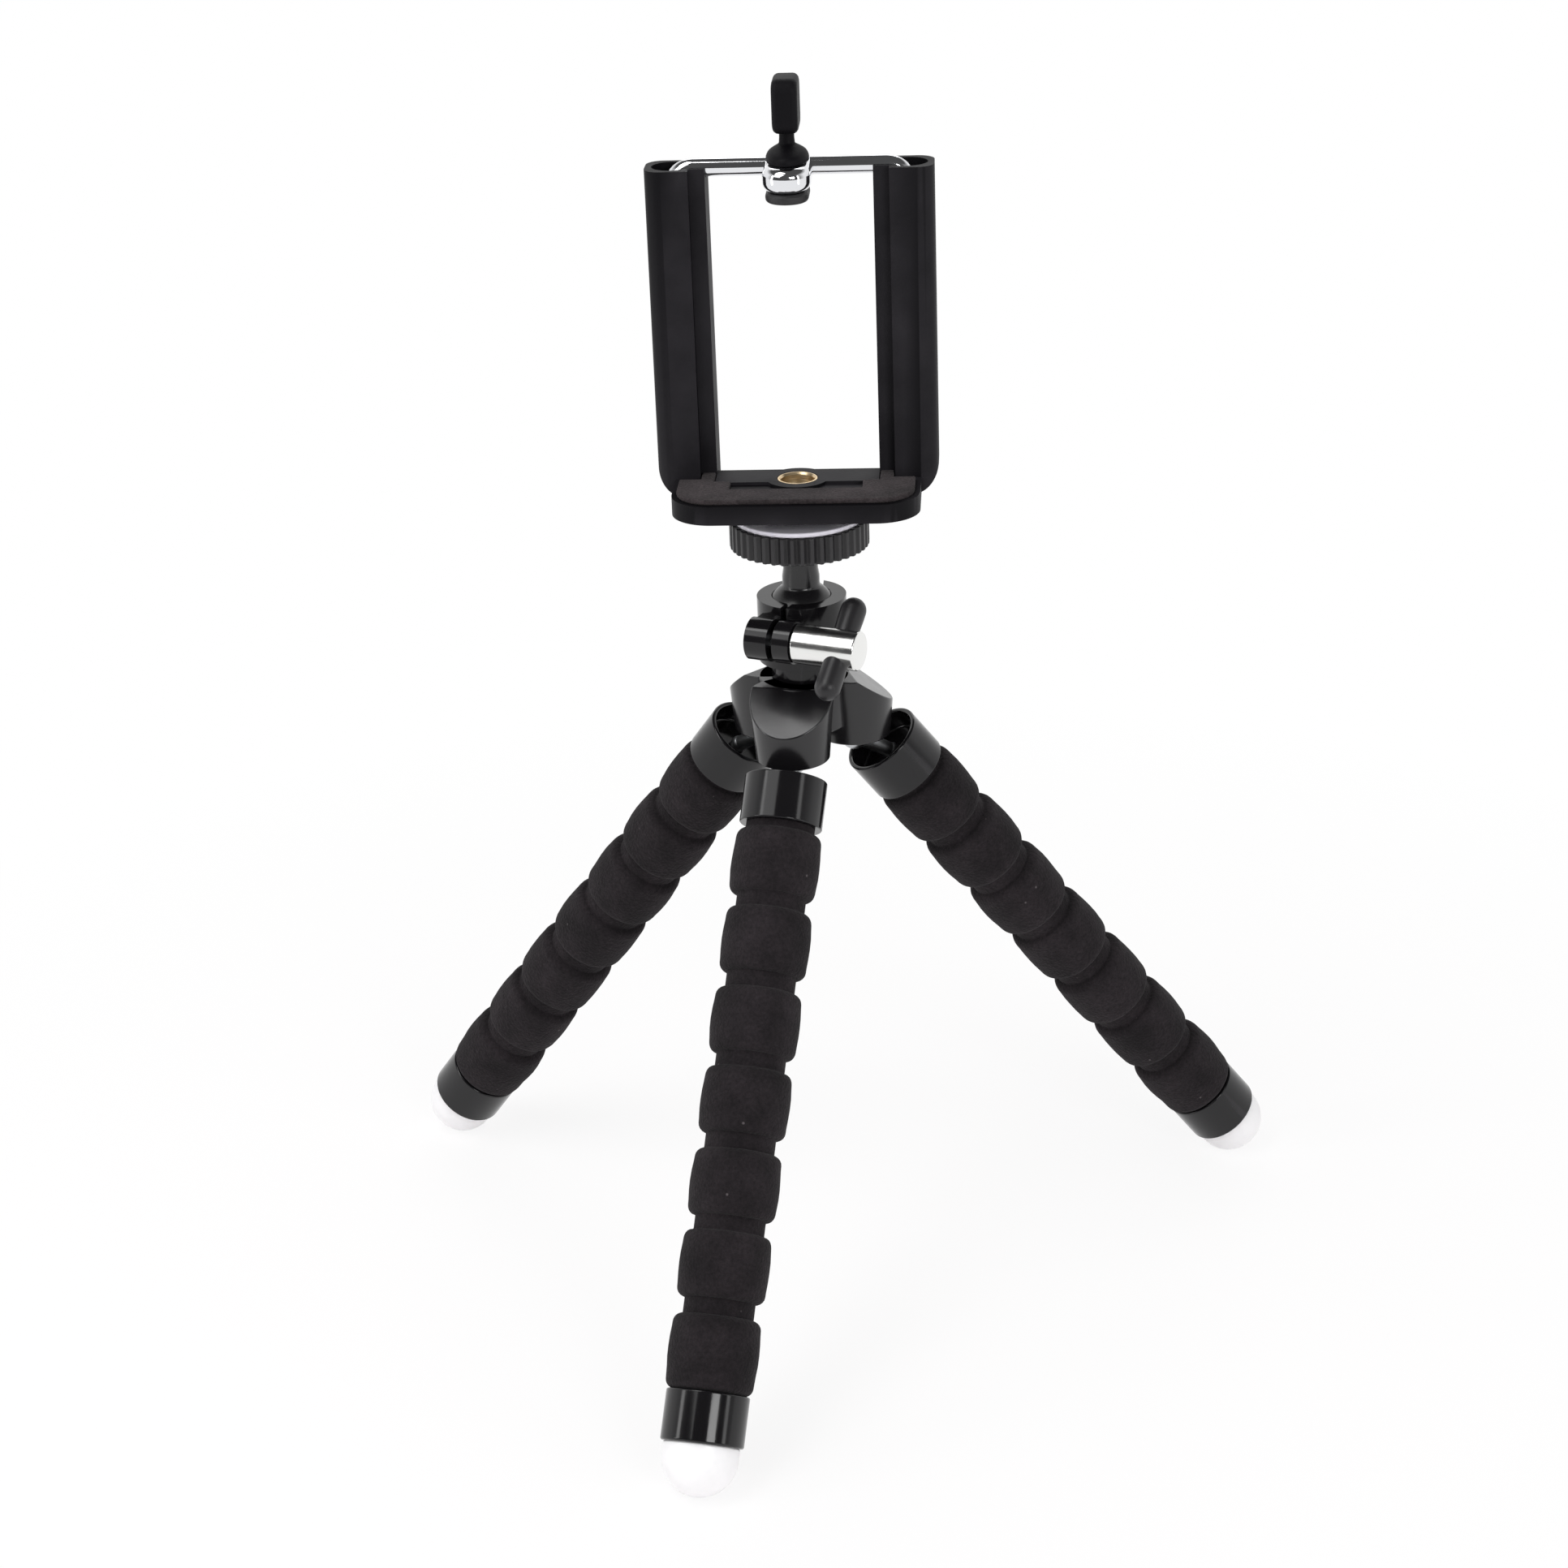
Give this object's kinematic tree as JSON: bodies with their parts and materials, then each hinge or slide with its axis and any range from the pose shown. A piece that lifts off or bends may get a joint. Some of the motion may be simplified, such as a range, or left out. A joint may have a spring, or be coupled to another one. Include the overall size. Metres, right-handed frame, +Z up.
{
  "type": "flexible leg tripod",
  "caption": "Small tripod with bendable foam-sleeved legs, a lockable ball head with a thumb wheel, and a sprung holder that grips a phone.",
  "frame": {"origin": "on the floor, under the axis of the hub and ball head", "axes": "+Z up along the hub's axis, +X to the holder's right, +Y to its back"},
  "size_m": [0.1833, 0.1512, 0.241],
  "materials": {
    "gloss_abs": "glossy black moulded plastic",
    "satin_abs": "satin black moulded plastic",
    "chrome": "polished chrome plate",
    "steel": "plain zinc-plated steel",
    "brass": "turned brass",
    "foam": "matte black closed-cell foam",
    "pad_foam": "matte brown-black foam sheet",
    "rubber": "black rubber",
    "pale_pad": "pale soft plastic sheet",
    "wire": "soft bendable aluminium wire",
    "foot_plastic": "milky translucent soft plastic"
  },
  "bodies": {
    "hub": {"leg_hub": "gloss_abs", "hub_screw": "steel"},
    "head": {"ball_socket": "gloss_abs", "clamp_nut": "steel"},
    "clamp_knob": {"clamp_barrel": "chrome", "clamp_screw": "steel", "clamp_bar": "satin_abs"},
    "stud": {"ball_stud": "satin_abs", "camera_screw": "steel"},
    "wheel": {"thumb_wheel": "satin_abs", "wheel_pad": "pale_pad"},
    "holder": {"holder_frame": "satin_abs", "brass_insert": "brass", "ledge_pad": "pad_foam", "rod_guides": "satin_abs", "rod_springs": "steel"},
    "bow": {"sprung_bow": "chrome", "rod_stops": "steel", "hook_block": "chrome", "hook_pad": "rubber", "hook_grip": "satin_abs"},
    "front_leg_root": {"front_leg_ferrule": "steel"},
    "front_leg_upper": {"front_leg_collar": "gloss_abs", "front_leg_foam_1": "foam", "front_leg_wire_1": "wire"},
    "front_leg_middle": {"front_leg_foam_2": "foam", "front_leg_wire_2": "wire"},
    "front_leg_lower": {"front_leg_foam_3": "foam", "front_leg_wire_3": "wire"},
    "front_leg_end": {"front_leg_foam_4": "foam", "front_leg_wire_4": "wire", "front_leg_cap": "gloss_abs", "front_leg_foot": "foot_plastic"},
    "right_leg_root": {"right_leg_ferrule": "steel"},
    "right_leg_upper": {"right_leg_collar": "gloss_abs", "right_leg_foam_1": "foam", "right_leg_wire_1": "wire"},
    "right_leg_middle": {"right_leg_foam_2": "foam", "right_leg_wire_2": "wire"},
    "right_leg_lower": {"right_leg_foam_3": "foam", "right_leg_wire_3": "wire"},
    "right_leg_end": {"right_leg_foam_4": "foam", "right_leg_wire_4": "wire", "right_leg_cap": "gloss_abs", "right_leg_foot": "foot_plastic"},
    "left_leg_root": {"left_leg_ferrule": "steel"},
    "left_leg_upper": {"left_leg_collar": "gloss_abs", "left_leg_foam_1": "foam", "left_leg_wire_1": "wire"},
    "left_leg_middle": {"left_leg_foam_2": "foam", "left_leg_wire_2": "wire"},
    "left_leg_lower": {"left_leg_foam_3": "foam", "left_leg_wire_3": "wire"},
    "left_leg_end": {"left_leg_foam_4": "foam", "left_leg_wire_4": "wire", "left_leg_cap": "gloss_abs", "left_leg_foot": "foot_plastic"}
  },
  "joints": [
    {"name": "head_pan", "type": "hinge", "parent": "hub", "child": "head", "pos_m": [0, 0, 0.12516], "axis": [0, 0, 1], "continuous": true},
    {"name": "clamp_knob_turn", "type": "hinge", "parent": "head", "child": "clamp_knob", "pos_m": [-0.00426, -0.01111, 0.13626], "axis": [0.9336, -0.3584, 0], "continuous": true},
    {"name": "ball_tilt", "type": "hinge", "parent": "head", "child": "stud", "pos_m": [0, 0, 0.13766], "axis": [-1, 0, 0], "range_deg": [-20, 88]},
    {"name": "wheel_turn", "type": "hinge", "parent": "stud", "child": "wheel", "pos_m": [0, 0, 0.15186], "axis": [0, 0, 1], "continuous": true},
    {"name": "holder_swivel", "type": "hinge", "parent": "stud", "child": "holder", "pos_m": [0, 0, 0.16096], "axis": [0, 0, 1], "continuous": true},
    {"name": "bow_slide", "type": "slide", "parent": "holder", "child": "bow", "axis": [0, 0, 1], "range_m": [0, 0.03], "stiffness_N_per_m": 250, "springref_m": -0.008, "deforming": ["rod_springs"]},
    {"name": "front_leg_swing", "type": "hinge", "parent": "hub", "child": "front_leg_root", "pos_m": [-0.00204, -0.00959, 0.11071], "axis": [0, 0, 1], "range_deg": [-30, 30]},
    {"name": "front_leg_splay", "type": "hinge", "parent": "front_leg_root", "child": "front_leg_upper", "pos_m": [-0.00204, -0.00959, 0.11071], "axis": [-0.9816, 0.1908, 0], "range_deg": [-34, 17]},
    {"name": "front_leg_bend_1", "type": "hinge", "parent": "front_leg_upper", "child": "front_leg_middle", "pos_m": [-0.00777, -0.03908, 0.0773], "axis": [0.9816, -0.1908, 0], "range_deg": [-20, 20]},
    {"name": "front_leg_bend_2", "type": "hinge", "parent": "front_leg_middle", "child": "front_leg_lower", "pos_m": [-0.01135, -0.05749, 0.05286], "axis": [0.9816, -0.1908, 0], "range_deg": [-20, 20]},
    {"name": "front_leg_bend_3", "type": "hinge", "parent": "front_leg_lower", "child": "front_leg_end", "pos_m": [-0.01493, -0.07589, 0.02843], "axis": [0.9816, -0.1908, 0], "range_deg": [-20, 20]},
    {"name": "right_leg_swing", "type": "hinge", "parent": "hub", "child": "right_leg_root", "pos_m": [0.00932, 0.00303, 0.11071], "axis": [0, 0, 1], "range_deg": [-30, 30]},
    {"name": "right_leg_splay", "type": "hinge", "parent": "right_leg_root", "child": "right_leg_upper", "pos_m": [0.00932, 0.00303, 0.11071], "axis": [0.3907, -0.9205, 0], "range_deg": [-34, 17]},
    {"name": "right_leg_bend_1", "type": "hinge", "parent": "right_leg_upper", "child": "right_leg_middle", "pos_m": [0.03698, 0.01477, 0.0773], "axis": [-0.3907, 0.9205, 0], "range_deg": [-20, 20]},
    {"name": "right_leg_bend_2", "type": "hinge", "parent": "right_leg_middle", "child": "right_leg_lower", "pos_m": [0.05424, 0.0221, 0.05286], "axis": [-0.3907, 0.9205, 0], "range_deg": [-20, 20]},
    {"name": "right_leg_bend_3", "type": "hinge", "parent": "right_leg_lower", "child": "right_leg_end", "pos_m": [0.0715, 0.02942, 0.02843], "axis": [-0.3907, 0.9205, 0], "range_deg": [-20, 20]},
    {"name": "left_leg_swing", "type": "hinge", "parent": "hub", "child": "left_leg_root", "pos_m": [-0.00728, 0.00656, 0.11071], "axis": [0, 0, 1], "range_deg": [-30, 30]},
    {"name": "left_leg_splay", "type": "hinge", "parent": "left_leg_root", "child": "left_leg_upper", "pos_m": [-0.00728, 0.00656, 0.11071], "axis": [0.454, 0.891, 0], "range_deg": [-34, 17]},
    {"name": "left_leg_bend_1", "type": "hinge", "parent": "left_leg_upper", "child": "left_leg_middle", "pos_m": [-0.03406, 0.0202, 0.0773], "axis": [-0.454, -0.891, 0], "range_deg": [-20, 20]},
    {"name": "left_leg_bend_2", "type": "hinge", "parent": "left_leg_middle", "child": "left_leg_lower", "pos_m": [-0.05076, 0.02871, 0.05286], "axis": [-0.454, -0.891, 0], "range_deg": [-20, 20]},
    {"name": "left_leg_bend_3", "type": "hinge", "parent": "left_leg_lower", "child": "left_leg_end", "pos_m": [-0.06747, 0.03722, 0.02843], "axis": [-0.454, -0.891, 0], "range_deg": [-20, 20]}
  ]
}
